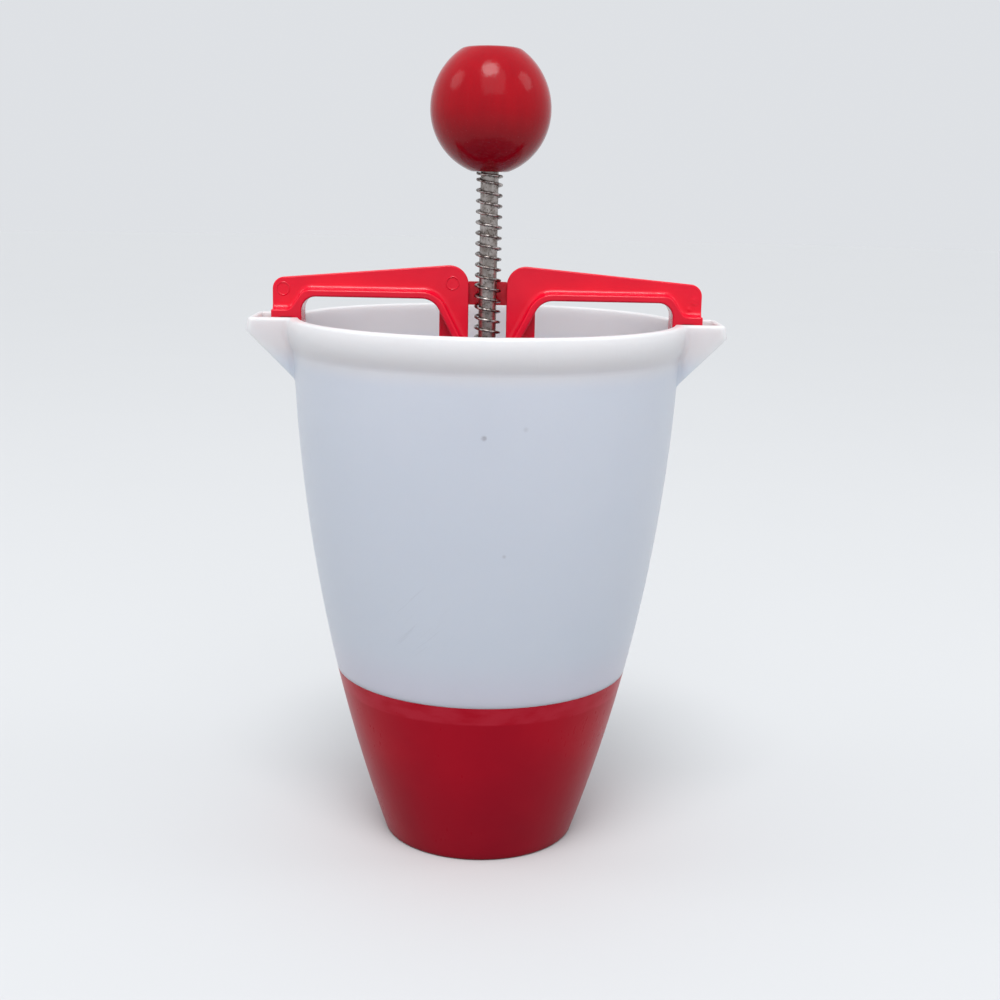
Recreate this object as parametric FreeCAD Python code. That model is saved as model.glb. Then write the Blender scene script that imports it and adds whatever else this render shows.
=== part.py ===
"""Donut dropper: a batter hopper with a sprung ring valve, standing in its base cup.

Millimetres, +Z up. The origin is the centre of the base cup's foot, on the table. The knob is at
the top of the Z axis, and the hopper's two spouts point along +X and -X.
"""
import FreeCAD, Part
import math
import os

from FreeCAD import Vector

# Outline that the base cup and the hopper share: one gentle arc from the table to under the rim.
BASE_RADIUS = 33.3
WALL_TOP_RADIUS = 65.2
WALL_CURVE_RADIUS = 587.0
RIM_HEIGHT = 182.2

# Base cup
CUP_HEIGHT = 61.0
CUP_WALL = 2.0
CUP_FLOOR = 2.0
CUP_FOOT_RECESS = 1.2
CUP_FOOT_RING = 5.0
CUP_EDGE_RADIUS = 1.2
CUP_FLOOR_FILLET = 4.0
CUP_LIP_RADIUS = 0.4

# Hopper
HOPPER_WALL = 2.0
SKIRT_DEPTH = 6.0
SKIRT_CLEARANCE = 0.3
FUNNEL_FILLET = 5.0
FUNNEL_WALL_RISE = 2.4
NOZZLE_BORE_RADIUS = 20.0
NOZZLE_LENGTH = 8.0
LIP_OUTER_RADIUS = 1.2
LIP_INNER_RADIUS = 0.6
WALL_TOP_DROP = 10.2
BEAD_DROP = 4.6
BEAD_REACH = 1.8
BEAD_CURVE_RADIUS = 12.0
CREASE_RADIUS = 4.0

# Spouts: open-top troughs that also hold the bracket's feet
SPOUT_REACH = 14.1
SPOUT_WIDTH = 24.0
SPOUT_WALL = 2.0
SPOUT_END_HEIGHT = 4.0
SPOUT_END_FLARE = 0.9
SPOUT_UNDERSIDE_DEG = 44.8
SPOUT_CORNER_RADIUS = 2.0
SPOUT_BLEND_RADIUS = 2.3

# Bracket
FINGER_GAP = 6.6
FLANGE_THICKNESS = 2.3
FLANGE_WIDTH = 12.0
FLANGE_EDGE_RADIUS = 0.6
FLANGE_FILLET = 1.7
WEB_THICKNESS = 2.6
WEB_EDGE_RADIUS = 0.5
ARM_END_HEIGHT = 5.8
ARM_SLOPE_DEG = 5.0
ARM_END_RADIUS = 4.0
ARM_SHOULDER_RADIUS = 6.5
WINDOW_OUTER_RADIUS = 4.8
WINDOW_BEND_RADIUS = 6.3
WINDOW_BEND_OFFSET = 1.9
DIAGONAL_DEG = 27.0
FOOT_SETBACK = 6.9
FOOT_INSET = 3.0
FOOT_LEDGE_DROP = 4.4
FOOT_LEDGE_RADIUS = 2.6
FOOT_SHOULDER_WIDTH = 1.6
FOOT_SHOULDER_RUN = 4.6
FOOT_SHOULDER_RADIUS = 4.0
FOOT_POCKET_RADIUS = 1.5
FOOT_SOLE_RADIUS = 0.8
LEG_WIDTH = 9.8
LEG_TAPER_DROP = 17.0
LEG_TAPER_RADIUS = 20.0
LEG_FOOT_WIDTH = 3.6
LEG_BEND_RADIUS = 3.0
BAR_TOP_RISE = 12.0
BAR_HEIGHT = 7.9
BAR_THICKNESS = 1.6
BAR_CORNER_RADIUS = 2.5
BAR_SPRING_GAP = 0.5
LOWER_BAR_RISE = 12.0
HUB_LENGTH = 17.0
HUB_CHAMFER = 0.8
SEAT_DEPTH = 3.0
SEAT_CLEARANCE = 0.5
SPRING_LEG_GAP = 1.9
PIN_MARK_RADIUS = 2.1
PIN_MARK_DEPTH = 0.12
FOOT_PIN_SETBACK = 3.6
FOOT_PIN_RISE = 2.2
LEG_PIN_SETBACK = 5.4
LEG_PIN_RISE = 5.0

# Plunger: rod, spring and knob
ROD_DIAMETER = 6.0
ROD_CLEARANCE = 0.08
ROD_CHAMFER = 0.6
WIRE_DIAMETER = 0.9
SPRING_DIAMETER = 9.0
SPRING_SPACE = 90.7
SPRING_TURNS = 26.5
SPRING_END_PITCH = 2.0
SPRING_END_GAP = 0.05
RIM_TO_SPRING_SEAT = 42.2
KNOB_DIAMETER = 40.0
KNOB_HEIGHT = 39.7
KNOB_WAIST_RISE = 20.1
KNOB_TOP_FLAT_RADIUS = 9.2
KNOB_FOOT_FLAT_RADIUS = 5.9
KNOB_EDGE_RADIUS = 4.0
KNOB_BORE_DEPTH = 19.0
KNOB_BORE_END_GAP = 1.0
PRESS_STROKE = 20.0
FLOOR_CLEARANCE = 2.6

# Valve and its fasteners
VALVE_FLANGE_OVERLAP = 2.4
VALVE_FLANGE_THICKNESS = 2.5
VALVE_PLUG_CLEARANCE = 0.6
VALVE_PLUG_LENGTH = 3.0
VALVE_DOME_HEIGHT = 8.0
VALVE_DOME_RADIUS = 14.0
VALVE_WALL = 2.0
VALVE_HUB_RADIUS = 7.0
VALVE_HUB_LENGTH = 6.0
VALVE_RIBS = 6
VALVE_RIB_THICKNESS = 1.4
VALVE_RIB_SETBACK = 1.0
VALVE_EDGE_RADIUS = 0.6
WASHER_DIAMETER = 12.0
WASHER_THICKNESS = 1.2
WASHER_CLEARANCE = 0.2
NUT_WIDTH = 10.0
NUT_HEIGHT = 5.0
NUT_CHAMFER_DEG = 30.0
CAP_HEX_HEIGHT = 4.0
CAP_CROWN_RADIUS = 4.6
CAP_CROWN_HEIGHT = 4.0
CAP_END_WALL = 3.1
CAP_END_GAP = 0.6

# Places worked out from the sizes above
CUP_FLOOR_TOP = CUP_FOOT_RECESS + CUP_FLOOR
CAP_HEIGHT = CAP_HEX_HEIGHT + CAP_CROWN_HEIGHT
VALVE_RISE = VALVE_PLUG_LENGTH + VALVE_DOME_HEIGHT
VALVE_DROP = max(VALVE_FLANGE_THICKNESS,
                 VALVE_HUB_LENGTH + WASHER_THICKNESS + CAP_HEIGHT - VALVE_RISE)
NOZZLE_BOTTOM = CUP_FLOOR_TOP + FLOOR_CLEARANCE + PRESS_STROKE + VALVE_DROP
NOZZLE_TOP = NOZZLE_BOTTOM + NOZZLE_LENGTH
WALL_TOP = RIM_HEIGHT - WALL_TOP_DROP
SKIRT_BOTTOM = CUP_HEIGHT - SKIRT_DEPTH
SPOUT_TIP = WALL_TOP_RADIUS + SPOUT_REACH
ARM_UNDERSIDE = RIM_HEIGHT + FINGER_GAP
ARM_FLANGE_TOP = ARM_UNDERSIDE + FLANGE_THICKNESS
FOOT_OUTER = SPOUT_TIP - FOOT_SETBACK
FOOT_INNER = WALL_TOP_RADIUS - FOOT_INSET
FOOT_LEDGE = ARM_UNDERSIDE - FOOT_LEDGE_DROP
SPRING_RADIUS = SPRING_DIAMETER / 2
LEG_INNER = SPRING_RADIUS + SPRING_LEG_GAP
LEG_OUTER = LEG_INNER + LEG_WIDTH
SPRING_SEAT = RIM_HEIGHT - RIM_TO_SPRING_SEAT
HUB_TOP = SPRING_SEAT + SEAT_DEPTH
HUB_BOTTOM = HUB_TOP - HUB_LENGTH
HUB_RADIUS = LEG_INNER + FLANGE_THICKNESS
ROD_RADIUS = ROD_DIAMETER / 2
KNOB_BOTTOM = SPRING_SEAT + SPRING_SPACE
VALVE_TOP = NOZZLE_BOTTOM + VALVE_RISE
VALVE_HUB_BOTTOM = VALVE_TOP - VALVE_HUB_LENGTH
LOCK_NUT_BOTTOM = VALVE_TOP + WASHER_THICKNESS
CAP_TOP = VALVE_HUB_BOTTOM - WASHER_THICKNESS
CAP_BOTTOM = CAP_TOP - CAP_HEIGHT
ROD_BOTTOM = CAP_BOTTOM + CAP_END_WALL + CAP_END_GAP
ROD_TOP = KNOB_BOTTOM + KNOB_BORE_DEPTH - KNOB_BORE_END_GAP
DIAGONAL = math.radians(DIAGONAL_DEG)


def outline_centre():
    """Centre of the shared outline's arc, which passes through the base and the wall's top."""
    start = Vector(BASE_RADIUS, 0, 0)
    end = Vector(WALL_TOP_RADIUS, 0, WALL_TOP)
    chord = end - start
    inward = Vector(-chord.z, 0, chord.x).normalize()
    return (start + end) / 2 + inward * math.sqrt(WALL_CURVE_RADIUS ** 2 - chord.Length ** 2 / 4)


def wall_radius(height, inset=0.0):
    """Radius of the shared outline at this height, moved inwards by a wall's thickness."""
    centre = outline_centre()
    return centre.x + math.sqrt((WALL_CURVE_RADIUS - inset) ** 2 - (height - centre.z) ** 2)


def wall_point(height, inset=0.0):
    return Vector(wall_radius(height, inset), 0, height)


def wall_arc(low, high, inset=0.0):
    """Stretch of the shared outline between two heights, moved inwards."""
    middle = wall_point((low + high) / 2, inset)
    return Part.Arc(wall_point(low, inset), middle, wall_point(high, inset)).toShape()


def line(start, end):
    return Part.LineSegment(start, end).toShape()


def chain(points):
    """Straight edges from point to point."""
    return [line(start, end) for start, end in zip(points, points[1:])]


def turned(edges):
    """Solid of revolution about Z from the edges of a half section in the XZ plane."""
    face = Part.Face(Part.Wire(Part.__sortEdges__(edges)))
    return face.revolve(Vector(0, 0, 0), Vector(0, 0, 1), 360)


def circles_at(shape, radius, height):
    """Full circles of this radius and height, which are the edges of a turned solid."""
    return [edge for edge in shape.Edges
            if isinstance(edge.Curve, Part.Circle)
            and abs(edge.Curve.Radius - radius) < 0.001
            and abs(edge.Curve.Center.z - height) < 0.001
            and abs(edge.Curve.Axis.z) > 0.999]


def middle_of(edge):
    return edge.valueAt((edge.FirstParameter + edge.LastParameter) / 2)


def level_edges(shape, height):
    """Edges that lie in the plane at this height."""
    return [edge for edge in shape.Edges
            if abs(middle_of(edge).z - height) < 0.001
            and all(abs(vertex.Z - height) < 0.001 for vertex in edge.Vertexes)]


def side_edges(shape, width):
    """Edges that lie in the two side faces of a slab this wide."""
    return [edge for edge in shape.Edges
            if all(abs(abs(point.y) - width / 2) < 0.001
                   for point in [middle_of(edge)] + [vertex.Point for vertex in edge.Vertexes])]


def rounded_chain(corners, closed=False):
    """Edges in the XZ plane through (x, z, radius) corners, each rounded by its radius."""
    points = [Vector(x, 0, z) for x, z, radius in corners]
    count = len(corners)
    rounds = []
    for index, (x, z, radius) in enumerate(corners):
        corner = points[index]
        if radius == 0:
            rounds.append((corner, None, corner))
            continue
        before = (points[index - 1] - corner).normalize()
        after = (points[(index + 1) % count] - corner).normalize()
        half = before.getAngle(after) / 2
        reach = radius / math.tan(half)
        bisector = (before + after).normalize()
        rounds.append((corner + before * reach,
                       corner + bisector * (radius / math.sin(half) - radius),
                       corner + after * reach))
    edges = []
    for index, (start, middle, end) in enumerate(rounds):
        if middle:
            edges.append(Part.Arc(start, middle, end).toShape())
        if closed or index < count - 1:
            following = rounds[(index + 1) % count][0]
            if (following - end).Length > 0.001:
                edges.append(line(end, following))
    return edges


def rounded_outline(corners):
    """Closed wire through rounded corners."""
    return Part.Wire(rounded_chain(corners, True))


def slab(wire, width):
    """Outline in the XZ plane given a width in Y, centred on the plane."""
    slice_face = Part.Face(wire)
    slice_face.translate(Vector(0, -width / 2, 0))
    return slice_face.extrude(Vector(0, width, 0))


def mirrored_in_x(shape):
    return shape.mirror(Vector(0, 0, 0), Vector(1, 0, 0))


def hexagon_prism(width, bottom, height):
    """Hexagon bar across flats, standing on this height."""
    corner = width / 2 / math.cos(math.radians(30))
    corners = [Vector(corner * math.cos(math.radians(60 * k)),
                      corner * math.sin(math.radians(60 * k)), bottom) for k in range(7)]
    return Part.Face(Part.makePolygon(corners)).extrude(Vector(0, 0, height))


def cylinder(radius, bottom, top):
    return Part.makeCylinder(radius, top - bottom, Vector(0, 0, bottom))


def base_cup():
    """Thin-walled cup on a raised foot ring, open at the top, with the hopper's outline."""
    ring_inside = BASE_RADIUS - CUP_FOOT_RING
    inner_floor = wall_point(CUP_FLOOR_TOP, CUP_WALL)
    edges = [wall_arc(0, CUP_HEIGHT)]
    edges += [line(wall_point(CUP_HEIGHT), wall_point(CUP_HEIGHT, CUP_WALL))]
    edges += [wall_arc(CUP_FLOOR_TOP, CUP_HEIGHT, CUP_WALL)]
    edges += chain([inner_floor, Vector(0, 0, CUP_FLOOR_TOP), Vector(0, 0, CUP_FOOT_RECESS),
                    Vector(ring_inside, 0, CUP_FOOT_RECESS), Vector(ring_inside, 0, 0),
                    wall_point(0)])
    cup = turned(edges)
    cup = cup.makeFillet(CUP_FLOOR_FILLET, circles_at(cup, inner_floor.x, CUP_FLOOR_TOP))
    cup = cup.makeFillet(CUP_EDGE_RADIUS, circles_at(cup, BASE_RADIUS, 0))
    lip = circles_at(cup, wall_radius(CUP_HEIGHT, CUP_WALL), CUP_HEIGHT)
    return cup.makeFillet(CUP_LIP_RADIUS, lip)


def tangent_centre(first, first_reach, second, second_reach):
    """Lower of the two points in the XZ plane at these distances from two centres."""
    across = second - first
    along = (first_reach ** 2 - second_reach ** 2 + across.Length ** 2) / (2 * across.Length)
    aside = math.sqrt(first_reach ** 2 - along ** 2)
    unit = across / across.Length
    normal = Vector(unit.z, 0, -unit.x) * aside
    return min((first + unit * along + normal, first + unit * along - normal),
               key=lambda point: point.z)


def rim_bead():
    """Edges from the outline's arc, through a hollow crease and round the bead, up to the rim."""
    wall = outline_centre()
    bead = Vector(WALL_TOP_RADIUS + BEAD_REACH - BEAD_CURVE_RADIUS, 0, RIM_HEIGHT - BEAD_DROP)
    crease = tangent_centre(wall, WALL_CURVE_RADIUS + CREASE_RADIUS,
                            bead, BEAD_CURVE_RADIUS + CREASE_RADIUS)
    low = wall + (crease - wall).normalize() * WALL_CURVE_RADIUS
    high = bead + (crease - bead).normalize() * BEAD_CURVE_RADIUS
    middle = crease + ((low + high) / 2 - crease).normalize() * CREASE_RADIUS
    widest = bead + Vector(BEAD_CURVE_RADIUS, 0, 0)
    rim = bead + Vector(math.sqrt(BEAD_CURVE_RADIUS ** 2 - BEAD_DROP ** 2), 0, BEAD_DROP)
    return low, rim, [Part.Arc(low, middle, high).toShape(), Part.Arc(high, widest, rim).toShape()]


def hopper_outside():
    """The hopper without its spouts and filled in: wall, bead, skirt, funnel and nozzle."""
    bead_low, rim, edges = rim_bead()
    skirt_inset = CUP_WALL + SKIRT_CLEARANCE
    skirt_low = wall_point(SKIRT_BOTTOM, skirt_inset)
    nozzle = NOZZLE_BORE_RADIUS + HOPPER_WALL
    edges += [wall_arc(CUP_HEIGHT, bead_low.z)]
    edges += [wall_arc(SKIRT_BOTTOM, CUP_HEIGHT, skirt_inset)]
    edges += [line(wall_point(CUP_HEIGHT, skirt_inset), wall_point(CUP_HEIGHT))]
    edges += chain([skirt_low, Vector(nozzle, 0, NOZZLE_TOP), Vector(nozzle, 0, NOZZLE_BOTTOM),
                    Vector(0, 0, NOZZLE_BOTTOM), Vector(0, 0, RIM_HEIGHT), rim])
    body = turned(edges)
    return body.makeFillet(FUNNEL_FILLET, circles_at(body, skirt_low.x, SKIRT_BOTTOM))


def hopper_inside():
    """The hopper's space without the spouts' troughs, run out past the rim and the nozzle."""
    skirt_inset = CUP_WALL + SKIRT_CLEARANCE + HOPPER_WALL
    funnel_rise = FUNNEL_WALL_RISE
    mouth = wall_point(RIM_HEIGHT + HOPPER_WALL, HOPPER_WALL)
    seam = wall_point(CUP_HEIGHT + HOPPER_WALL, HOPPER_WALL)
    skirt_low = wall_point(SKIRT_BOTTOM + funnel_rise, skirt_inset)
    edges = [wall_arc(seam.z, mouth.z, HOPPER_WALL)]
    edges += chain([seam, wall_point(CUP_HEIGHT, skirt_inset)])
    edges += [wall_arc(skirt_low.z, CUP_HEIGHT, skirt_inset)]
    edges += chain([skirt_low, Vector(NOZZLE_BORE_RADIUS, 0, NOZZLE_TOP + funnel_rise),
                    Vector(NOZZLE_BORE_RADIUS, 0, NOZZLE_BOTTOM - HOPPER_WALL),
                    Vector(0, 0, NOZZLE_BOTTOM - HOPPER_WALL), Vector(0, 0, mouth.z), mouth])
    space = turned(edges)
    return space.makeFillet(FUNNEL_FILLET, circles_at(space, skirt_low.x, skirt_low.z))


def spout_floor(x, inset):
    """Height of the spout's sloping underside at x, moved inwards by a wall's thickness."""
    slope = math.radians(SPOUT_UNDERSIDE_DEG)
    end = SPOUT_TIP + SPOUT_END_FLARE
    return RIM_HEIGHT - SPOUT_END_HEIGHT + (x - end) * math.tan(slope) + inset / math.cos(slope)


def spout_wedge(inset, top, width):
    """Wedge that projects through the wall: the spout's outside, or its trough if moved inwards."""
    lean = SPOUT_END_FLARE / SPOUT_END_HEIGHT
    slope = math.tan(math.radians(SPOUT_UNDERSIDE_DEG))
    end_at_top = SPOUT_TIP - inset * math.sqrt(1 + lean ** 2)
    level = spout_floor(end_at_top + lean * RIM_HEIGHT, inset)
    corner_z = level / (1 + slope * lean)
    corner_x = end_at_top + lean * (RIM_HEIGHT - corner_z)
    root = WALL_TOP_RADIUS - SPOUT_REACH
    wire = Part.makePolygon([Vector(end_at_top + lean * (RIM_HEIGHT - top), 0, top),
                             Vector(corner_x, 0, corner_z),
                             Vector(root, 0, spout_floor(root, inset)),
                             Vector(root, 0, top),
                             Vector(end_at_top + lean * (RIM_HEIGHT - top), 0, top)])
    return slab(wire, width)


def hopper():
    """Hopper with a blended spout at each side and one soft lip round the rim and the spouts."""
    spout = spout_wedge(0, RIM_HEIGHT, SPOUT_WIDTH)
    tip_corners = [edge for edge in spout.Edges
                   if min(vertex.X for vertex in edge.Vertexes) > SPOUT_TIP - 0.01
                   and abs(middle_of(edge).y) > SPOUT_WIDTH / 2 - 0.01]
    spout = spout.makeFillet(SPOUT_CORNER_RADIUS, tip_corners)
    body = hopper_outside().fuse([spout, mirrored_in_x(spout)]).removeSplitter()
    roots = [edge for edge in body.Edges
             if not isinstance(edge.Curve, Part.Line)
             and middle_of(edge).z < RIM_HEIGHT - 0.01
             and abs(middle_of(edge).y) < SPOUT_WIDTH / 2 + 0.01
             and all(abs(abs(vertex.Y) - SPOUT_WIDTH / 2) < 0.01 for vertex in edge.Vertexes)]
    body = body.makeFillet(SPOUT_BLEND_RADIUS, roots)
    body = body.makeFillet(LIP_OUTER_RADIUS, level_edges(body, RIM_HEIGHT))

    trough = spout_wedge(SPOUT_WALL, RIM_HEIGHT + HOPPER_WALL, SPOUT_WIDTH - 2 * SPOUT_WALL)
    body = body.cut(hopper_inside().fuse([trough, mirrored_in_x(trough)]))
    lip = max((face for face in body.Faces if face.BoundBox.ZMin > RIM_HEIGHT - 0.001),
              key=lambda face: face.Area)
    inner_lip = min(lip.Wires, key=lambda wire: wire.Length)
    return body.makeFillet(LIP_INNER_RADIUS, inner_lip.Edges)


def diagonal_bend(offset):
    """X of the corner where the arm's underside line turns down the leg, moved outwards."""
    bend = LEG_OUTER + WINDOW_BEND_OFFSET
    return bend + offset * (math.tan(DIAGONAL) - 1 / math.cos(DIAGONAL))


def diagonal_height(x, offset):
    """Height of the leg's diagonal at x, moved outwards from its underside."""
    return ARM_UNDERSIDE + offset - (diagonal_bend(offset) - x) / math.tan(DIAGONAL)


def flange_upper_corners():
    """Corners of the flange's upper side, from the foot's end to the leg's inner edge."""
    shoulder = FOOT_INNER + FOOT_SHOULDER_WIDTH
    return [(FOOT_OUTER, FOOT_LEDGE, 0),
            (shoulder + FOOT_SHOULDER_RUN / 2, FOOT_LEDGE, FOOT_LEDGE_RADIUS),
            (shoulder - FOOT_SHOULDER_RUN / 2, ARM_FLANGE_TOP, FOOT_SHOULDER_RADIUS),
            (diagonal_bend(FLANGE_THICKNESS), ARM_FLANGE_TOP,
             WINDOW_BEND_RADIUS + FLANGE_THICKNESS),
            (LEG_INNER, diagonal_height(LEG_INNER, FLANGE_THICKNESS), 0)]


def bracket_flange():
    """Wide band of the bracket: hub to leg, diagonal, arm and foot, with a pocket in the foot."""
    leg_side = LEG_INNER + FLANGE_THICKNESS
    corners = [(LEG_INNER, HUB_BOTTOM, 0),
               (leg_side, HUB_BOTTOM, 0),
               (leg_side, diagonal_height(leg_side, 0), LEG_BEND_RADIUS),
               (diagonal_bend(0), ARM_UNDERSIDE, WINDOW_BEND_RADIUS),
               (FOOT_INNER, ARM_UNDERSIDE, WINDOW_OUTER_RADIUS),
               (FOOT_INNER, spout_floor(FOOT_INNER, SPOUT_WALL), FOOT_SOLE_RADIUS),
               (FOOT_OUTER, spout_floor(FOOT_OUTER, SPOUT_WALL), FOOT_SOLE_RADIUS)]
    band = slab(rounded_outline(corners + flange_upper_corners()), FLANGE_WIDTH)
    band = band.makeFillet(FLANGE_EDGE_RADIUS, side_edges(band, FLANGE_WIDTH))
    inside = FOOT_INNER + FLANGE_THICKNESS
    outside = FOOT_OUTER - FLANGE_THICKNESS
    wall = SPOUT_WALL + FLANGE_THICKNESS
    pocket = rounded_outline([
        (inside, FOOT_LEDGE - FLANGE_THICKNESS, FOOT_POCKET_RADIUS),
        (inside, spout_floor(inside, wall), FOOT_POCKET_RADIUS),
        (outside, spout_floor(outside, wall), FOOT_POCKET_RADIUS),
        (outside, FOOT_LEDGE - FLANGE_THICKNESS, FOOT_POCKET_RADIUS)])
    return band.cut(slab(pocket, FLANGE_WIDTH))


def web_outline():
    """Outline of the bracket's web: the arm's sloping top, the foot's middle and the tapered leg."""
    half = FLANGE_THICKNESS / 2
    end_top = ARM_UNDERSIDE + ARM_END_HEIGHT
    inner_top = end_top + (FOOT_OUTER - LEG_INNER) * math.tan(math.radians(ARM_SLOPE_DEG))
    reach = WINDOW_BEND_RADIUS * math.tan((math.pi / 2 - DIAGONAL) / 2)
    bend_x = diagonal_bend(0) + reach
    bend_radius = WINDOW_BEND_RADIUS + half
    leg_cross = ARM_UNDERSIDE - WINDOW_BEND_RADIUS
    leg_cross += math.sqrt(bend_radius ** 2 - (bend_x - LEG_OUTER) ** 2)
    foot_middle = FOOT_INNER + half
    return rounded_outline([
        (LEG_INNER, HUB_BOTTOM, 0),
        (LEG_INNER + LEG_FOOT_WIDTH, HUB_BOTTOM, 0),
        (LEG_OUTER, RIM_HEIGHT - LEG_TAPER_DROP, LEG_TAPER_RADIUS),
        (LEG_OUTER, leg_cross, 0),
        (bend_x, ARM_UNDERSIDE + half, 0),
        (foot_middle, ARM_UNDERSIDE + half, WINDOW_OUTER_RADIUS + half),
        (foot_middle, spout_floor(foot_middle, SPOUT_WALL + half), 0),
        (FOOT_OUTER, spout_floor(FOOT_OUTER, SPOUT_WALL + half), 0),
        (FOOT_OUTER, end_top, ARM_END_RADIUS),
        (LEG_INNER, inner_top, ARM_SHOULDER_RADIUS)])


def web_edges_on(shape, outline):
    """Edges in the web's side faces that lie above or below this line in the XZ plane."""
    found = []
    for edge in side_edges(shape, WEB_THICKNESS):
        middle = middle_of(edge)
        middle.y = 0
        if outline.distToShape(Part.Vertex(middle))[0] < 0.001:
            found.append(edge)
    return found


def bracket_side():
    """One arm with its leg: a T section, hollow where web and band meet, round on the web's rim."""
    side = bracket_flange().fuse(slab(web_outline(), WEB_THICKNESS)).removeSplitter()
    upper_side = Part.Wire(rounded_chain(flange_upper_corners()))
    side = side.makeFillet(FLANGE_FILLET, web_edges_on(side, upper_side))
    return side.makeFillet(WEB_EDGE_RADIUS, web_edges_on(side, web_outline()))


def cross_bar(top, side):
    """Bar that ties the two legs together behind the spring (side 1) or before it (side -1)."""
    inside = SPRING_RADIUS + BAR_SPRING_GAP
    outside = inside + BAR_THICKNESS
    half = LEG_INNER + BAR_THICKNESS
    outer = Part.makeBox(2 * half, outside, BAR_HEIGHT, Vector(-half, 0, top - BAR_HEIGHT))
    corners = [edge for edge in outer.Edges
               if abs(edge.Vertexes[0].Y - outside) < 0.001
               and abs(edge.Vertexes[1].Z - edge.Vertexes[0].Z) > 0.001
               and abs(edge.Vertexes[1].Y - outside) < 0.001]
    outer = outer.makeFillet(BAR_CORNER_RADIUS, corners)
    inner = Part.makeBox(2 * LEG_INNER, inside, BAR_HEIGHT, Vector(-LEG_INNER, 0, top - BAR_HEIGHT))
    bar = outer.cut(inner)
    if side < 0:
        bar = bar.mirror(Vector(0, 0, 0), Vector(0, 1, 0))
    return bar


def pin_mark(x, height):
    """Space of the shallow round print that an ejector pin leaves in the web's front side."""
    return Part.makeCylinder(PIN_MARK_RADIUS, WEB_THICKNESS,
                             Vector(x, PIN_MARK_DEPTH - WEB_THICKNESS / 2, height),
                             Vector(0, -1, 0))


def bracket():
    """One moulding: two T-section arms on feet, with legs that carry the rod's guide hub."""
    side = bracket_side()
    hub = cylinder(HUB_RADIUS, HUB_BOTTOM, HUB_TOP)
    hub = hub.makeChamfer(HUB_CHAMFER, circles_at(hub, HUB_RADIUS, HUB_BOTTOM))
    rear_bar = cross_bar(RIM_HEIGHT + BAR_TOP_RISE, 1)
    front_bar = cross_bar(HUB_TOP + LOWER_BAR_RISE + BAR_HEIGHT, -1)
    whole = side.fuse([mirrored_in_x(side), hub, rear_bar, front_bar])
    bore = cylinder(ROD_RADIUS + ROD_CLEARANCE, HUB_BOTTOM - 1, HUB_TOP + 1)
    seat = cylinder(SPRING_RADIUS + SEAT_CLEARANCE, SPRING_SEAT, HUB_TOP + 1)
    foot_mark = pin_mark(FOOT_PIN_SETBACK - FOOT_OUTER, ARM_UNDERSIDE + FOOT_PIN_RISE)
    leg_mark = pin_mark(-LEG_INNER - LEG_PIN_SETBACK, ARM_UNDERSIDE + LEG_PIN_RISE)
    return whole.cut([bore, seat, foot_mark, leg_mark]).removeSplitter()


def plunger_rod():
    rod = cylinder(ROD_RADIUS, ROD_BOTTOM, ROD_TOP)
    ends = circles_at(rod, ROD_RADIUS, ROD_BOTTOM) + circles_at(rod, ROD_RADIUS, ROD_TOP)
    return rod.makeChamfer(ROD_CHAMFER, ends)


def knob_arc(flat_radius, rise):
    """Arc of the knob's side, upright at its waist, from there to the edge of a flat end."""
    radius = KNOB_DIAMETER / 2
    waist = KNOB_BOTTOM + KNOB_WAIST_RISE
    middle = (radius ** 2 - flat_radius ** 2 - rise ** 2) / (2 * (radius - flat_radius))
    reach = radius - middle
    turn = math.atan2(rise, flat_radius - middle) / 2
    halfway = Vector(middle + reach * math.cos(turn), 0, waist + reach * math.sin(turn))
    end = Vector(flat_radius, 0, waist + rise)
    return Part.Arc(Vector(radius, 0, waist), halfway, end).toShape()


def knob():
    """Turned wooden ball with a wide flat on top, a smaller one at its foot and a blind bore."""
    top = KNOB_BOTTOM + KNOB_HEIGHT
    edges = [knob_arc(KNOB_TOP_FLAT_RADIUS, KNOB_HEIGHT - KNOB_WAIST_RISE)]
    edges += [knob_arc(KNOB_FOOT_FLAT_RADIUS, -KNOB_WAIST_RISE)]
    edges += chain([Vector(KNOB_FOOT_FLAT_RADIUS, 0, KNOB_BOTTOM), Vector(0, 0, KNOB_BOTTOM),
                    Vector(0, 0, top), Vector(KNOB_TOP_FLAT_RADIUS, 0, top)])
    ball = turned(edges)
    flats = circles_at(ball, KNOB_FOOT_FLAT_RADIUS, KNOB_BOTTOM)
    flats += circles_at(ball, KNOB_TOP_FLAT_RADIUS, top)
    ball = ball.makeFillet(KNOB_EDGE_RADIUS, flats)
    return ball.cut(cylinder(ROD_RADIUS, KNOB_BOTTOM - 1, KNOB_BOTTOM + KNOB_BORE_DEPTH))


def helix_height(turn):
    """Height of the wire's centre after so many turns: closer at the ends, even between them."""
    low = SPRING_SEAT + SPRING_END_GAP + WIRE_DIAMETER / 2
    rise = SPRING_SPACE - 2 * SPRING_END_GAP - WIRE_DIAMETER
    pitch = (rise - 2 * SPRING_END_PITCH) / (SPRING_TURNS - 2)
    if turn < 1:
        return low + SPRING_END_PITCH * turn
    if turn > SPRING_TURNS - 1:
        return low + rise - SPRING_END_PITCH * (SPRING_TURNS - turn)
    return low + SPRING_END_PITCH + pitch * (turn - 1)


def helix_point(turn):
    """Wire's centre after so many turns: a left-hand winding, seen from above clockwise going up."""
    radius = (SPRING_DIAMETER - WIRE_DIAMETER) / 2
    angle = -2 * math.pi * turn
    return Vector(radius * math.cos(angle), radius * math.sin(angle), helix_height(turn))


def helix_tangent(turn):
    step = 0.001
    return (helix_point(turn + step) - helix_point(turn - step)).normalize()


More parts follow.
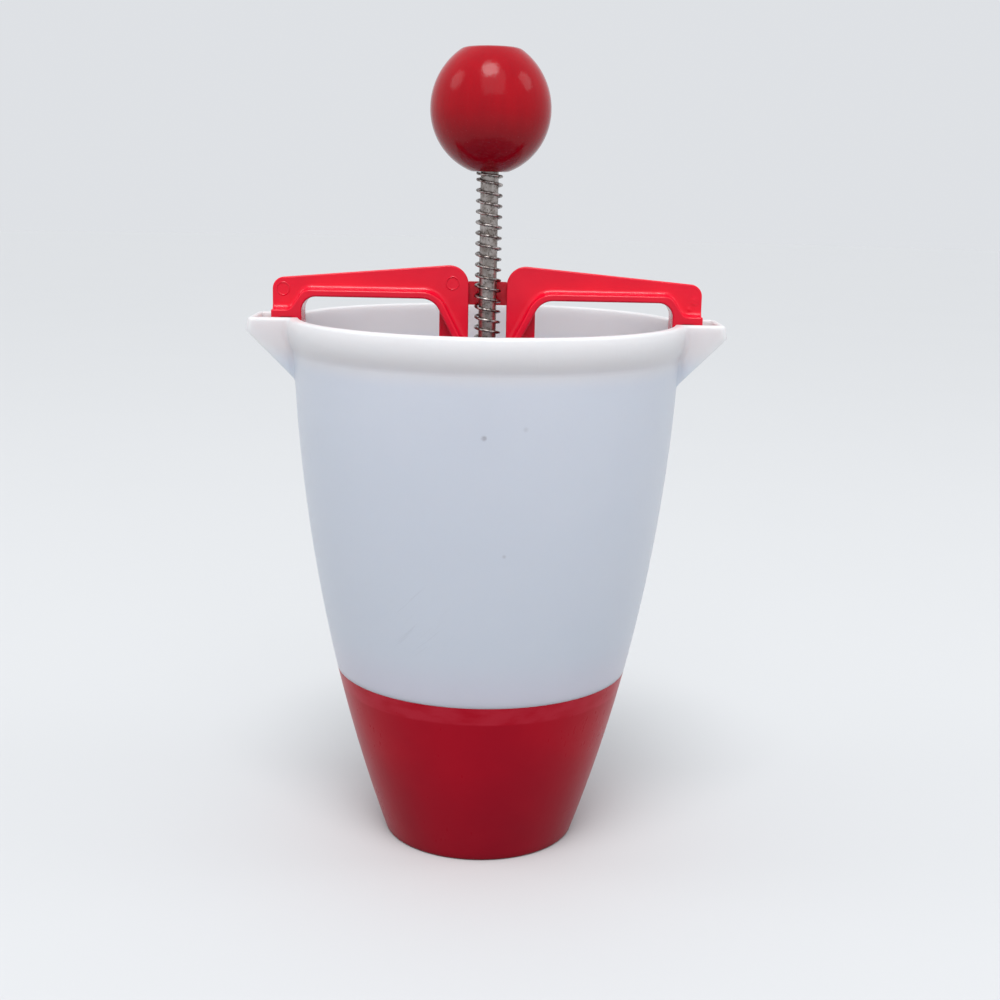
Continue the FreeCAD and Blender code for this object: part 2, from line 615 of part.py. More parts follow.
def biarc(start, start_way, end, end_way):
    """Two arcs that leave start along start_way, meet tangentially and reach end along end_way."""
    across = end - start
    ways = start_way + end_way
    spread = 2 * (1 - start_way.dot(end_way))
    along = across.dot(ways)
    reach = (-along + math.sqrt(along ** 2 + spread * across.dot(across))) / spread
    first = start + start_way * reach
    last = end - end_way * reach
    joint = (first + last) / 2
    arcs = []
    for low, bend, high in ((start, first, joint), (joint, last, end)):
        middle = (low + high) / 2
        half = (high - low).Length / 2
        rise = (bend - middle).Length
        turn = math.atan2(rise, half)
        arcs.append(Part.Arc(low, middle + (bend - middle) / rise * half * math.tan(turn / 2),
                             high))
    return arcs


def spring():
    """Compression spring as one unbroken wire, closer wound for its first and last turn."""
    steps = round(SPRING_TURNS * 4)
    arcs = []
    for step in range(steps):
        low = SPRING_TURNS * step / steps
        high = SPRING_TURNS * (step + 1) / steps
        arcs += biarc(helix_point(low), helix_tangent(low), helix_point(high), helix_tangent(high))
    path = Part.Wire([arc.toShape() for arc in arcs])
    section = Part.Wire(Part.Circle(helix_point(0), helix_tangent(0), WIRE_DIAMETER / 2).toShape())
    coil = path.makePipeShell([section], True, False)
    report_spring(path, coil)
    return coil


def report_spring(path, coil):
    """Print the wire's least gap to itself, its tightest bend and its volume against its length."""
    samples = 24
    count = round(SPRING_TURNS * samples)
    points = [helix_point(SPRING_TURNS * k / count) for k in range(count + 1)]
    gap = min((points[i] - points[j]).Length for i in range(count)
              for j in range(i + samples // 2, min(i + 2 * samples, count + 1)))
    tightest = min(edge.Curve.Radius for edge in path.Edges)
    print("spring: least gap %.2f mm, tightest bend %.2f mm, volume ratio %.4f"
          % (gap - WIRE_DIAMETER, tightest,
             coil.Volume / (path.Length * math.pi * WIRE_DIAMETER ** 2 / 4)))


def valve_dome(inset):
    """Arc of the valve's dome, moved inwards by its wall, with its outer and inner ends."""
    start = Vector(NOZZLE_BORE_RADIUS - VALVE_PLUG_CLEARANCE, 0, NOZZLE_BOTTOM + VALVE_PLUG_LENGTH)
    end = Vector(VALVE_HUB_RADIUS, 0, VALVE_TOP)
    chord = end - start
    inward = Vector(-chord.z, 0, chord.x).normalize()
    depth = math.sqrt(VALVE_DOME_RADIUS ** 2 - chord.Length ** 2 / 4)
    centre = (start + end) / 2 + inward * depth
    radius = VALVE_DOME_RADIUS - inset

    def dome_point(x):
        return Vector(x, 0, centre.z + math.sqrt(radius ** 2 - (x - centre.x) ** 2))

    outer = dome_point(start.x - inset)
    inner = dome_point(end.x)
    middle = dome_point((outer.x + inner.x) / 2)
    return [Part.Arc(outer, middle, inner).toShape()], outer, inner


def valve_disc():
    """Hollow plug with a domed top, a sealing flange under the nozzle and a ribbed underside."""
    bottom = NOZZLE_BOTTOM - VALVE_FLANGE_THICKNESS
    flange = NOZZLE_BORE_RADIUS + VALVE_FLANGE_OVERLAP
    edges, outer, inner = valve_dome(0)
    edges += chain([outer, Vector(outer.x, 0, NOZZLE_BOTTOM), Vector(flange, 0, NOZZLE_BOTTOM),
                    Vector(flange, 0, bottom), Vector(0, 0, bottom), Vector(0, 0, inner.z), inner])
    plug = turned(edges)
    plug = plug.makeFillet(VALVE_EDGE_RADIUS, circles_at(plug, flange, bottom))
    edges, outer, inner = valve_dome(VALVE_WALL)
    edges += chain([outer, Vector(outer.x, 0, bottom - 1), Vector(0, 0, bottom - 1),
                    Vector(0, 0, VALVE_HUB_BOTTOM), Vector(inner.x, 0, VALVE_HUB_BOTTOM), inner])
    hollow = turned(edges)
    rib_start = math.sqrt(VALVE_HUB_RADIUS ** 2 - VALVE_RIB_THICKNESS ** 2 / 4)
    rib = Part.makeBox(NOZZLE_BORE_RADIUS - rib_start, VALVE_RIB_THICKNESS, VALVE_RISE,
                       Vector(rib_start, -VALVE_RIB_THICKNESS / 2, bottom + VALVE_RIB_SETBACK))
    ribs = [rib.rotated(Vector(0, 0, 0), Vector(0, 0, 1), 360 * k / VALVE_RIBS)
            for k in range(VALVE_RIBS)]
    plug = plug.cut(hollow.cut(ribs))
    return plug.cut(cylinder(ROD_RADIUS, bottom, VALVE_TOP + 1))


def valve_washers():
    """Two flat washers, one above and one below the valve's hub."""
    rings = []
    for bottom in (CAP_TOP, VALVE_TOP):
        ring = cylinder(WASHER_DIAMETER / 2, bottom, bottom + WASHER_THICKNESS)
        rings.append(ring.cut(cylinder(ROD_RADIUS + WASHER_CLEARANCE, bottom - 1,
                                       bottom + WASHER_THICKNESS + 1)))
    return Part.makeCompound(rings)


def chamfered_hexagon(bottom, height):
    """Hexagon nut blank whose corners are turned off at both ends."""
    corner = NUT_WIDTH / 2 / math.cos(math.radians(30))
    drop = (corner - NUT_WIDTH / 2) * math.tan(math.radians(NUT_CHAMFER_DEG))
    top = bottom + height
    turned_blank = turned(chain([Vector(0, 0, bottom), Vector(NUT_WIDTH / 2, 0, bottom),
                                 Vector(corner, 0, bottom + drop), Vector(corner, 0, top - drop),
                                 Vector(NUT_WIDTH / 2, 0, top), Vector(0, 0, top),
                                 Vector(0, 0, bottom)]))
    return hexagon_prism(NUT_WIDTH, bottom, height).common(turned_blank)


def lock_nut():
    blank = chamfered_hexagon(LOCK_NUT_BOTTOM, NUT_HEIGHT)
    return blank.cut(cylinder(ROD_RADIUS, LOCK_NUT_BOTTOM - 1, LOCK_NUT_BOTTOM + NUT_HEIGHT + 1))


def cap_nut():
    """Closed nut under the valve: hexagon, rounded crown and a blind bore for the rod's end."""
    hex_bottom = CAP_TOP - CAP_HEX_HEIGHT
    blank = chamfered_hexagon(hex_bottom, CAP_HEX_HEIGHT)
    ball = (CAP_CROWN_RADIUS ** 2 + CAP_CROWN_HEIGHT ** 2) / (2 * CAP_CROWN_HEIGHT)
    slant = math.sqrt(0.5) * ball
    rim = Vector(CAP_CROWN_RADIUS, 0, hex_bottom)
    crown = turned([Part.Arc(Vector(0, 0, CAP_BOTTOM), Vector(slant, 0, CAP_BOTTOM + ball - slant),
                             rim).toShape()]
                   + chain([rim, rim + Vector(0, 0, CAP_HEX_HEIGHT / 2),
                            Vector(0, 0, hex_bottom + CAP_HEX_HEIGHT / 2),
                            Vector(0, 0, CAP_BOTTOM)]))
    return blank.fuse(crown).cut(cylinder(ROD_RADIUS, CAP_BOTTOM + CAP_END_WALL, CAP_TOP + 1))


NODES = {
    "base_cup": base_cup,
    "hopper": hopper,
    "bracket": bracket,
    "spring": spring,
    "plunger_rod": plunger_rod,
    "knob": knob,
    "valve_disc": valve_disc,
    "valve_washers": valve_washers,
    "lock_nut": lock_nut,
    "cap_nut": cap_nut,
}

os.makedirs("parts", exist_ok=True)
for name, make in NODES.items():
    shape = make()
    print(name, "valid" if shape.isValid() else "NOT VALID", len(shape.Solids), "solids,",
          round(shape.Volume), "mm3")
    shape.exportStep("parts/" + name + ".step")
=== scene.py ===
import bmesh
import bpy
import math
from mathutils import Matrix, Vector


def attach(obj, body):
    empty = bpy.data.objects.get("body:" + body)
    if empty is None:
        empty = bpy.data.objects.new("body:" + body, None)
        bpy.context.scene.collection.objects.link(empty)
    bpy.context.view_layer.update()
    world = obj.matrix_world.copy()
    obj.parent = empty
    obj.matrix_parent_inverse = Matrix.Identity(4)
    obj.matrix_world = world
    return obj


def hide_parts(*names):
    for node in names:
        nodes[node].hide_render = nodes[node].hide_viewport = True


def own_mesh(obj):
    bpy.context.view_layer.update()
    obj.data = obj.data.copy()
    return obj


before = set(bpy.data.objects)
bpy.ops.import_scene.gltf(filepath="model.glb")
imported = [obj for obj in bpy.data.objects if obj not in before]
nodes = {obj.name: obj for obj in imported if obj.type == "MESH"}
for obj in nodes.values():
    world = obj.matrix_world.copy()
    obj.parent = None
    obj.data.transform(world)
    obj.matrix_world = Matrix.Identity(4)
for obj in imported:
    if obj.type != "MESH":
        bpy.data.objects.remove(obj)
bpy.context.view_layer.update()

# Base cup: the red stand and drip cup that the hopper is set into. It is one moulding in a gloss
# plastic, thin enough at its lip for the hopper's white skirt behind it to lighten the red.
CUP_RED = (0.42, 0.002, 0.015)
CUP_DEEP_AND_SHADED_RED = (0.28, 0.0012, 0.013)
CUP_RED_OVER_SKIRT = (0.47, 0.017, 0.036)
CUP_FOOT_SHADE_RED = (0.12, 0.003, 0.007)
SKIRT_END = 0.0548
SKIRT_END_BLUR = 0.0004
FOOT_SHADE_HEIGHT = 0.0035
CUP_RELIEF = 0.00004


class Value:
    """A socket of a pattern, on which sums and products can be written."""

    def __init__(self, pattern, socket):
        self.pattern = pattern
        self.socket = socket

    def output(self, name):
        """Another output of the node that this one comes from."""
        return Value(self.pattern, self.socket.node.outputs[name])

    def arithmetic(self, operation, first, second):
        return self.pattern.node("ShaderNodeMath", {"operation": operation}, {0: first, 1: second})

    def __add__(self, other):
        return self.arithmetic("ADD", self, other)

    def __radd__(self, other):
        return self.arithmetic("ADD", other, self)

    def __sub__(self, other):
        return self.arithmetic("SUBTRACT", self, other)

    def __rsub__(self, other):
        return self.arithmetic("SUBTRACT", other, self)

    def __mul__(self, other):
        return self.arithmetic("MULTIPLY", self, other)

    def __rmul__(self, other):
        return self.arithmetic("MULTIPLY", other, self)


class Pattern:
    """A node tree that is written as expressions."""

    def __init__(self, tree):
        self.tree = tree

    def node(self, kind, settings=(), inputs=(), output=0):
        """New node of this kind: its settings first, then its sockets, as numbers or links."""
        made = self.tree.nodes.new(kind)
        for name, value in dict(settings).items():
            setattr(made, name, value)
        for name, value in dict(inputs).items():
            if isinstance(value, Value):
                self.tree.links.new(value.socket, made.inputs[name])
            else:
                made.inputs[name].default_value = value
        return Value(self, made.outputs[output])


class Finish(Pattern):
    """A surface: its shader's constants by name, and patterns that are read in metres."""

    def __init__(self, name, **constants):
        self.material = bpy.data.materials.new(name)
        self.material.use_nodes = True
        super().__init__(self.material.node_tree)
        self.shader = self.tree.nodes["Principled BSDF"]
        for socket, value in constants.items():
            self.shader.inputs[socket.replace("_", " ")].default_value = value
        self.place = self.node("ShaderNodeTexCoord", output="Object")

    def along(self, axis):
        """One coordinate of the surface, in metres."""
        return self.node("ShaderNodeSeparateXYZ", (), {0: self.place}, axis)

    def turned(self, centre, degrees):
        """The surface's coordinates seen from a point, turned about the front-to-back axis."""
        inputs = {"Vector": self.place, "Location": centre,
                  "Rotation": (0, math.radians(degrees), 0)}
        return self.node("ShaderNodeMapping", {"vector_type": "TEXTURE"}, inputs)

    def noise(self, scale, detail, vector=None):
        inputs = {"Vector": vector or self.place, "Scale": scale, "Detail": detail}
        return self.node("ShaderNodeTexNoise", (), inputs)

    def drawn_noise(self, scales, detail, vector=None):
        """Noise with a scale for each axis: its grains are long where the scale is small."""
        inputs = {"Vector": vector or self.place, "Scale": scales}
        return self.noise(1, detail, self.node("ShaderNodeMapping", (), inputs))

    def step(self, value, low, high):
        """Smooth step from 0 at low to 1 at high."""
        inputs = {"Value": value, "From Min": low, "From Max": high}
        return self.node("ShaderNodeMapRange", {"interpolation_type": "SMOOTHSTEP"}, inputs)

    def mix(self, share, first, second):
        """Colour between two colours, each of them three numbers or a socket."""
        first = first if isinstance(first, Value) else (*first, 1)
        second = second if isinstance(second, Value) else (*second, 1)
        return self.node("ShaderNodeMix", {"data_type": "RGBA"}, {0: share, 6: first, 7: second}, 2)

    def near(self, centre, low, high):
        """1 within a distance of a point, falling smoothly to 0 further out."""
        away = self.node("ShaderNodeVectorMath", {"operation": "DISTANCE"},
                         {0: self.place, 1: centre}, "Value")
        return 1 - self.step(away, low, high)

    def feed(self, **values):
        for socket, value in values.items():
            self.tree.links.new(value.socket, self.shader.inputs[socket.replace("_", " ")])

    def bump(self, height, distance):
        """Relief from a height of 0 to 1, where 1 is this distance in metres."""
        self.feed(Normal=self.node("ShaderNodeBump", (), {"Height": height, "Distance": distance}))

    def cover(self, piece):
        piece.data.materials.clear()
        piece.data.materials.append(self.material)
        for face in piece.data.polygons:
            face.material_index = 0


cup_plastic = Finish("cup_plastic", IOR=1.49, Specular_IOR_Level=0.1)
height = cup_plastic.along("Z")
cloud = cup_plastic.noise(30, 3)
over_skirt = cup_plastic.step(height, SKIRT_END - SKIRT_END_BLUR, SKIRT_END + SKIRT_END_BLUR)
worn_band = cup_plastic.step(cup_plastic.drawn_noise((120, 120, 300), 4), 0.35, 0.75)
band_colour = cup_plastic.mix(worn_band, CUP_RED_OVER_SKIRT, CUP_RED)
# Painted shade: the cup's red darkens from the skirt's end down to its foot, on top of its random
# darker clouds.
low_painted_shade = 1 - cup_plastic.step(height, 0.0, SKIRT_END)
deep_share = cup_plastic.step(cloud, 0.3, 0.7) * 0.4 + low_painted_shade * 0.6
cup_colour = cup_plastic.mix(deep_share, CUP_RED, CUP_DEEP_AND_SHADED_RED)
cup_colour = cup_plastic.mix(over_skirt * 0.85, cup_colour, band_colour)
# Painted shade: a mottled dark band along the last few millimetres of the foot, where it meets the
# floor.
foot_painted_shade = cup_plastic.step(height, FOOT_SHADE_HEIGHT, 0.0) * cup_plastic.noise(160, 4)
cup_colour = cup_plastic.mix(foot_painted_shade * 0.6, cup_colour, CUP_FOOT_SHADE_RED)
hairlines = cup_plastic.drawn_noise((900, 900, 60), 3)
scratches = cup_plastic.step(cup_plastic.drawn_noise((60, 60, 1500), 2), 0.70, 0.76)
cup_plastic.feed(Base_Color=cup_colour,
                 Roughness=cloud * 0.10 + hairlines * 0.10 + scratches * 0.12 + 0.20)
cup_plastic.bump(hairlines * 0.3 + cup_plastic.noise(420, 2) * 0.5 - scratches * 0.2, CUP_RELIEF)
cup_plastic.cover(nodes["base_cup"])

# Hopper: the tall white moulding that holds the batter. It is a slightly cloudy plastic that light
# soaks through. Its wall below the bead is painted a bluer shade than its lit white rim, and the
# red cup's glow is painted as a pink tint on its foot. Its front has three specks and a rub.
HOPPER_WHITE = (0.71, 0.715, 0.73)
HOPPER_SHADED_WALL_WHITE = (0.60, 0.655, 0.74)
HOPPER_SHADE = (0.56, 0.62, 0.71)
HOPPER_CUP_GLOW_PINK = (0.62, 0.57, 0.66)
HOPPER_DIRT = (0.30, 0.31, 0.35)
BEAD_FOOT = 0.170
CUP_SEAM = 0.061
SEAM_GLOW_HEIGHT = 0.020
DARK_SPECK = (-0.0003, -0.0642, 0.1518)
FAINT_SPECK = (0.0123, -0.0632, 0.1545)
LOW_SPECK = (0.0066, -0.0600, 0.1141)
RUB = (-0.0202, -0.0530, 0.0906)
RUB_DEGREES = -47
HOPPER_RELIEF = 0.00005

hopper_plastic = Finish("hopper_plastic", IOR=1.5, Specular_IOR_Level=0.4, Subsurface_Weight=0.75,
                        Subsurface_Scale=0.008, Subsurface_Radius=(1.0, 0.92, 0.88))
height = hopper_plastic.along("Z")
cloud = hopper_plastic.noise(14, 3)
shade_share = hopper_plastic.step(cloud, 0.3, 0.7) * 0.5
shaded_wall_colour = hopper_plastic.mix(shade_share, HOPPER_SHADED_WALL_WHITE, HOPPER_SHADE)
# Painted shade and light: the wall below the bead gets a bluer shaded white, and the bead and
# spouts a plain lit white.
lit_rim_share = hopper_plastic.step(height, BEAD_FOOT - 0.005, BEAD_FOOT + 0.004)
hopper_colour = hopper_plastic.mix(lit_rim_share, shaded_wall_colour, HOPPER_WHITE)
# Painted light: the red cup's glow, laid on the hopper as a pink tint just above the seam.
painted_cup_glow = 1 - hopper_plastic.step(height, CUP_SEAM, CUP_SEAM + SEAM_GLOW_HEIGHT)
hopper_colour = hopper_plastic.mix(painted_cup_glow * 0.5, hopper_colour, HOPPER_CUP_GLOW_PINK)
dirt = (hopper_plastic.near(DARK_SPECK, 0.0003, 0.0012) * hopper_plastic.noise(1500, 3)
        + hopper_plastic.near(FAINT_SPECK, 0.0001, 0.0012) * 0.2
        + hopper_plastic.near(LOW_SPECK, 0.0001, 0.0009) * 0.3)
along_rub = hopper_plastic.turned(RUB, RUB_DEGREES)
rubs = hopper_plastic.step(hopper_plastic.drawn_noise((70, 70, 1300), 3, along_rub), 0.58, 0.72)
rubs = rubs * hopper_plastic.near(RUB, 0.005, 0.020)
hopper_colour = hopper_plastic.mix(dirt * 1.2 + rubs * 0.12, hopper_colour, HOPPER_DIRT)
scuffs = hopper_plastic.step(hopper_plastic.drawn_noise((420, 420, 90), 4), 0.60, 0.78)
hopper_plastic.feed(Base_Color=hopper_colour,
                    Roughness=cloud * 0.10 + scuffs * 0.12 + rubs * 0.1 + 0.26)
hopper_plastic.bump(hopper_plastic.noise(260, 2) * 0.7 + scuffs * 0.3, HOPPER_RELIEF)
hopper_plastic.cover(nodes["hopper"])

# Bracket: one bright red moulding that drops into the two spouts and guides the rod. Its web and
# its band keep the sheen of the mould, with two round prints of the ejector pins on the left arm
# and a swirl of the melt on the right foot.
BRACKET_RED = (0.82, 0.004, 0.028)
BRACKET_DEEP_RED = (0.64, 0.002, 0.024)
BRACKET_RELIEF = 0.00035
FOOT_PRINT = (-0.0688, -0.0013, 0.1910)
LEG_PRINT = (-0.0118, -0.0013, 0.1938)
PRINT_RADIUS = 0.0021
PRINT_BLUR = 0.00035
SWIRL = (0.0698, -0.0013, 0.1893)
LOW_SWIRL = (0.0680, -0.0013, 0.1865)

bracket_plastic = Finish("bracket_plastic", IOR=1.5, Specular_IOR_Level=0.32)


def pin_print(centre):
    """Ring at the edge of the round print that an ejector pin leaves."""
    disc = bracket_plastic.near(centre, PRINT_RADIUS - PRINT_BLUR, PRINT_RADIUS + PRINT_BLUR)
    return disc * (1 - disc) * 4


cloud = bracket_plastic.noise(60, 3)
deep_share = bracket_plastic.step(cloud, 0.3, 0.7) * 0.5
bracket_colour = bracket_plastic.mix(deep_share, BRACKET_RED, BRACKET_DEEP_RED)
rings = pin_print(FOOT_PRINT) + pin_print(LEG_PRINT)
swirls = (bracket_plastic.near(SWIRL, 0.0004, 0.0022)
          + bracket_plastic.near(LOW_SWIRL, 0.0002, 0.0014))
swirl_lines = bracket_plastic.noise(900, 2) * swirls
ripples = bracket_plastic.noise(170, 3)
bracket_plastic.feed(Base_Color=bracket_colour, Roughness=cloud * 0.10 + 0.12)
bracket_plastic.bump(ripples * 0.5 + swirl_lines + rings * 0.4, BRACKET_RELIEF)
bracket_plastic.cover(nodes["bracket"])

# Spring: drawn steel wire, wound left-handed round the rod and squeezed between the knob and the
# bracket's hub. The first and the last turn lie closer, as the ends of such a spring do.
WIRE_RADIUS = 0.00045
WIRE_SIDES = 14
WIRE_DARK_STEEL = (0.11, 0.085, 0.075)
WIRE_BRIGHT_STEEL = (0.48, 0.44, 0.42)
WIRE_RELIEF = 0.00002
COIL_RADIUS = 0.00405
COIL_TURNS = 26.5
COIL_END_PITCH = 0.0020
COIL_END_RISE = 0.0005
SEAT = 0.140
KNOB_FOOT = 0.2307
COIL_BOTTOM = SEAT + COIL_END_RISE
COIL_TOP = KNOB_FOOT - COIL_END_RISE
STEPS_PER_TURN = 40
WELD_DISTANCE = 0.000001


def wound_spring(name):
    """One tube, spun round the axis with a rise at each step: close, even, close."""
    even_turns = COIL_TURNS - 2
    even_pitch = (COIL_TOP - COIL_BOTTOM - 2 * COIL_END_PITCH) / even_turns
    wire = bmesh.new()
    ring = bmesh.ops.create_circle(wire, segments=WIRE_SIDES, radius=WIRE_RADIUS,
                                   cap_ends=True)["verts"]
    tilt = math.atan(even_pitch / (2 * math.pi * COIL_RADIUS))
    upright = Matrix.Rotation(math.pi / 2 + tilt, 3, "X")
    bmesh.ops.rotate(wire, verts=ring, cent=(0, 0, 0), matrix=upright)
    bmesh.ops.translate(wire, verts=ring, vec=(COIL_RADIUS, 0, COIL_BOTTOM))
    leading = list(wire.faces)
    for turns, pitch in ((1, COIL_END_PITCH), (even_turns, even_pitch), (1, COIL_END_PITCH)):
        steps = round(turns * STEPS_PER_TURN)
        spun = bmesh.ops.spin(wire, geom=leading, cent=(0, 0, 0), axis=(0, 0, 1),
                              angle=-2 * math.pi * turns, steps=steps,
                              dvec=(0, 0, pitch / STEPS_PER_TURN))
        leading = [item for item in spun["geom_last"] if isinstance(item, bmesh.types.BMFace)]
    bmesh.ops.remove_doubles(wire, verts=list(wire.verts), dist=WELD_DISTANCE)
    bmesh.ops.recalc_face_normals(wire, faces=list(wire.faces))
    for face in wire.faces:
        face.smooth = len(face.verts) == 4
    mesh = bpy.data.meshes.new(name)
    wire.to_mesh(mesh)
    wire.free()
    piece = bpy.data.objects.new(name, mesh)
    bpy.context.scene.collection.objects.link(piece)
    return piece


spring_wire = Finish("spring_wire", Metallic=1.0, IOR=2.5)
patches = spring_wire.noise(700, 4)
bright_share = spring_wire.step(patches, 0.35, 0.7)
spring_wire.feed(Base_Color=spring_wire.mix(bright_share, WIRE_DARK_STEEL, WIRE_BRIGHT_STEEL),
                 Roughness=patches * 0.25 + 0.16)
spring_wire.bump(spring_wire.noise(2600, 3), WIRE_RELIEF)

coil = wound_spring("coil")
spring_wire.cover(coil)
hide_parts("spring")
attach(coil, "spring")
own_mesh(coil)

# Plunger rod: a drawn steel bar with fine lines along it, dulled by years of washing. It runs in
# the bracket's hub and is screwed into the knob above it and the two nuts below.
ROD_STEEL = (0.42, 0.38, 0.36)
ROD_STAIN = (0.24, 0.21, 0.19)
ROD_BRIGHT_LINE = (0.52, 0.48, 0.46)
ROD_PIT = (0.08, 0.06, 0.05)
ROD_RELIEF = 0.00004

rod_steel = Finish("rod_steel", Metallic=1.0, IOR=2.5)
drawn_lines = rod_steel.drawn_noise((1400, 1400, 160), 3)
stains = rod_steel.noise(420, 5)
pits = rod_steel.step(rod_steel.noise(1500, 3), 0.54, 0.66)
steel_colour = rod_steel.mix(rod_steel.step(stains, 0.35, 0.65), ROD_STEEL, ROD_STAIN)
bright_lines = rod_steel.step(drawn_lines, 0.50, 0.75)
steel_colour = rod_steel.mix(bright_lines * 0.4, steel_colour, ROD_BRIGHT_LINE)
steel_colour = rod_steel.mix(pits * 0.65, steel_colour, ROD_PIT)
rod_steel.feed(Base_Color=steel_colour, Roughness=stains * 0.25 + pits * 0.2 + 0.22)
rod_steel.bump(drawn_lines * 0.4 - pits * 0.6, ROD_RELIEF)
rod_steel.cover(nodes["plunger_rod"])

# Knob: a turned wooden ball, dipped in a deep cherry red gloss paint that has settled into the
# grain and picked up dust while it dried. It is screwed onto the rod.
KNOB_RED = (0.47, 0.002, 0.009)
KNOB_DARK_AND_SHADED_RED = (0.20, 0.002, 0.009)
KNOB_DUST = (0.50, 0.10, 0.12)
KNOB_SHADE_HEIGHT = 0.022
KNOB_RELIEF = 0.00009

knob_paint = Finish("knob_paint", IOR=1.5, Specular_IOR_Level=0.18)
grain = knob_paint.drawn_noise((420, 420, 60), 4)
depth = knob_paint.noise(45, 3)
height = knob_paint.along("Z")
# Painted shade: the knob's lower part darkens towards its foot, on top of the paint pooled in the
# grain; the dust gathers more there.
low_painted_shade = 1 - knob_paint.step(height, KNOB_FOOT, KNOB_FOOT + KNOB_SHADE_HEIGHT)
paint_depth_and_shade_share = depth * 0.4 + grain * 0.3 + low_painted_shade * 0.45
knob_colour = knob_paint.mix(paint_depth_and_shade_share, KNOB_RED, KNOB_DARK_AND_SHADED_RED)
dust = knob_paint.step(knob_paint.noise(2400, 2), 0.66, 0.74)
knob_colour = knob_paint.mix(dust * (low_painted_shade * 0.5 + 0.10), knob_colour, KNOB_DUST)
knob_paint.feed(Base_Color=knob_colour, Roughness=depth * 0.10 + 0.09)
knob_paint.bump(grain * 0.5 + knob_paint.noise(650, 3) * 0.5, KNOB_RELIEF)
knob_paint.cover(nodes["knob"])

# Valve disc: the red plug and flange that close the nozzle from below. It is one plastic moulding,
# stiffened by ribs and clamped on the rod between the two nuts.
VALVE_RED = (0.62, 0.006, 0.018)
VALVE_DEEP_RED = (0.42, 0.004, 0.012)
VALVE_RELIEF = 0.00005

valve_plastic = Finish("valve_plastic", IOR=1.5, Specular_IOR_Level=0.35)
cloud = valve_plastic.noise(120, 3)
valve_plastic.feed(Base_Color=valve_plastic.mix(cloud * 0.4, VALVE_RED, VALVE_DEEP_RED),
                   Roughness=cloud * 0.15 + 0.25)
valve_plastic.bump(valve_plastic.noise(500, 2), VALVE_RELIEF)
valve_plastic.cover(nodes["valve_disc"])

# Washers and nuts: zinc-plated steel pieces on the rod's lower end, which clamp the valve disc
# between them. The nut below it is a closed one.
ZINC_GREY = (0.50, 0.50, 0.50)
ZINC_BRIGHT = (0.72, 0.72, 0.73)
ZINC_RELIEF = 0.00002

plated_steel = Finish("plated_steel", Metallic=1.0, IOR=2.5)
spangle = plated_steel.noise(900, 3)
plated_steel.feed(Base_Color=plated_steel.mix(spangle, ZINC_GREY, ZINC_BRIGHT),
                  Roughness=spangle * 0.2 + 0.2)
plated_steel.bump(plated_steel.noise(1800, 2), ZINC_RELIEF)
for fastener in ("valve_washers", "lock_nut", "cap_nut"):
    plated_steel.cover(nodes[fastener])

# Studio: a round pale floor that runs out into a pale backdrop of the same brightness, under a
# broad soft lamp overhead, a soft panel in front and one at each side. The floor throws little
# light back up.
FLOOR_RADIUS = 6.0
FLOOR_GREY = (0.63, 0.64, 0.65)
FLOOR_MARK_GREY = (0.60, 0.61, 0.62)
FLOOR_BOUNCE_GREY = (0.36, 0.36, 0.37)
SKY_COLOUR = (0.95, 0.97, 1.0, 1)
SKY_STRENGTH = 0.75
BACKDROP_GREY = (0.735, 0.755, 0.785, 1)


def shown_rays(pattern):
    """1 for the rays that show a thing itself: to the camera, in a reflection, through glass."""
    rays = pattern.node("ShaderNodeLightPath")
    return (rays.output("Is Camera Ray") + rays.output("Is Glossy Ray")
            + rays.output("Is Transmission Ray"))


floor_shape = bmesh.new()
bmesh.ops.create_circle(floor_shape, segments=96, radius=FLOOR_RADIUS, cap_ends=True)
floor_mesh = bpy.data.meshes.new("floor")
floor_shape.to_mesh(floor_mesh)
floor_shape.free()
floor = bpy.data.objects.new("floor", floor_mesh)
bpy.context.scene.collection.objects.link(floor)
floor_paint = Finish("floor_paint", Roughness=0.7, Specular_IOR_Level=0.2)
floor_colour = floor_paint.mix(floor_paint.noise(6, 2) * 0.3, FLOOR_GREY, FLOOR_MARK_GREY)
floor_paint.feed(Base_Color=floor_paint.mix(shown_rays(floor_paint), FLOOR_BOUNCE_GREY,
                                            floor_colour))
floor_paint.cover(floor)

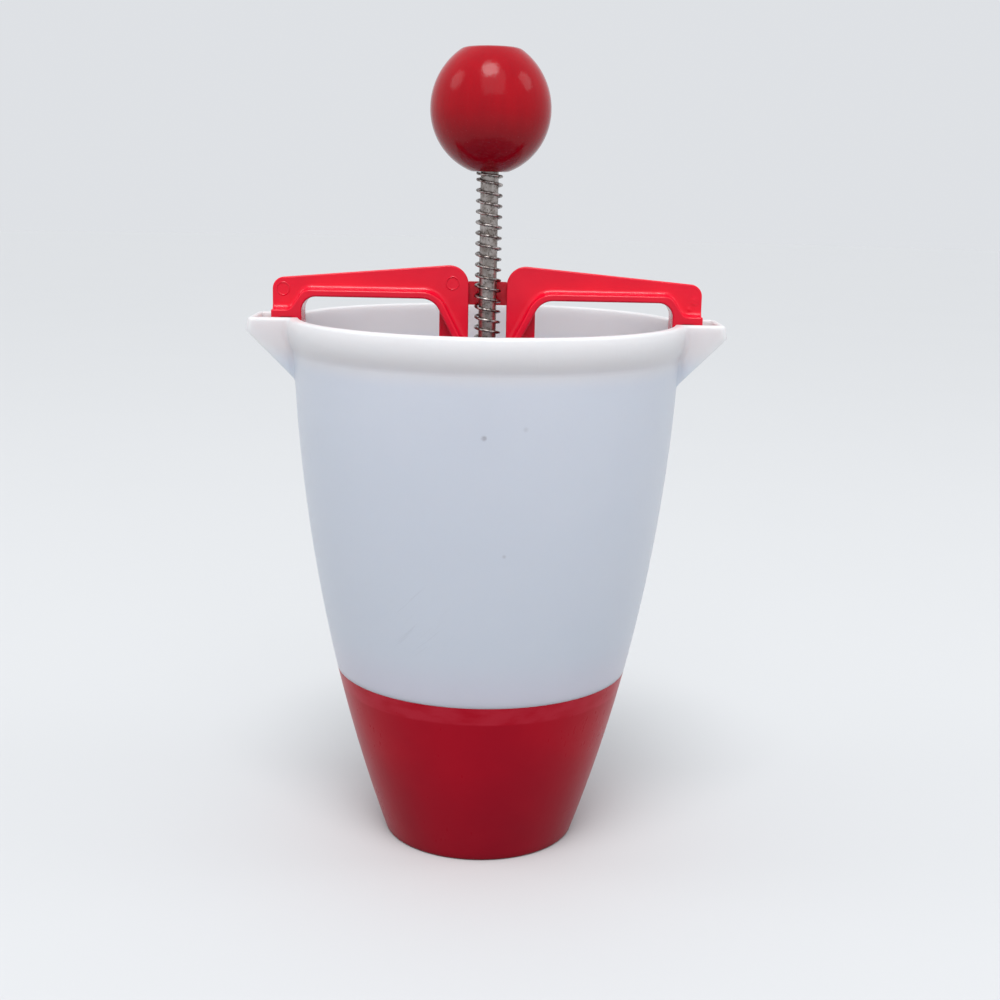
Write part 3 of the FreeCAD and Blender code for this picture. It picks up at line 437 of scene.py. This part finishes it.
world = bpy.data.worlds.new("studio")
bpy.context.scene.world = world
world.use_nodes = True
sky = Pattern(world.node_tree)
light = sky.node("ShaderNodeBackground", (), {"Color": SKY_COLOUR, "Strength": SKY_STRENGTH})
backdrop = sky.node("ShaderNodeBackground", (), {"Color": BACKDROP_GREY, "Strength": 1.0})
dome = sky.node("ShaderNodeMixShader", (), {0: shown_rays(sky), 1: light, 2: backdrop})
world.node_tree.links.new(dome.socket, world.node_tree.nodes["World Output"].inputs["Surface"])


def lamp(name, kind, place, target, **settings):
    """Lamp of this kind at a place, facing a target."""
    bulb = bpy.data.lights.new(name, kind)
    for setting, value in settings.items():
        setattr(bulb, setting, value)
    housing = bpy.data.objects.new(name, bulb)
    housing.location = place
    housing.rotation_mode = "QUATERNION"
    housing.rotation_quaternion = (Vector(target) - Vector(place)).to_track_quat("-Z", "Y")
    bpy.context.scene.collection.objects.link(housing)


lamp("overhead", "SUN", (-0.05, -0.50, 1.2), (0, 0, 0.15), energy=1.6, angle=math.radians(26))
lamp("front_panel", "AREA", (0.1, -1.2, 1.35), (0, 0, 0.17), shape="SQUARE", size=1.2, energy=5.5)
lamp("left_panel", "AREA", (-1.0, -0.1, 0.95), (0, 0, 0.2), shape="DISK", size=0.5, energy=1.3)
lamp("right_panel", "AREA", (1.0, -0.1, 0.95), (0, 0, 0.2), shape="DISK", size=0.5, energy=1.3)

# Camera: where the photograph was taken from, slightly above the rim and looking down at it. Its
# place, turns and lens were fitted to the outlines in the photograph.
VIEW_PLACE = (0.00021, -0.50694, 0.22708)
VIEW_DOWN = math.radians(12.0)
VIEW_TURN = math.radians(0.609)
VIEW_ROLL = math.radians(1.159)
LENS = 53.64

camera = bpy.data.objects.new("camera", bpy.data.cameras.new("camera"))
camera.data.lens = LENS
camera.data.sensor_width = 36
camera.data.clip_start = 0.01
camera.data.clip_end = 50
camera.location = VIEW_PLACE
turn = (Matrix.Rotation(-VIEW_TURN, 3, "Z") @ Matrix.Rotation(math.pi / 2 - VIEW_DOWN, 3, "X")
        @ Matrix.Rotation(VIEW_ROLL, 3, "Z"))
camera.rotation_euler = turn.to_euler()
bpy.context.scene.collection.objects.link(camera)
bpy.context.scene.camera = camera
bpy.context.scene.view_settings.view_transform = "Standard"
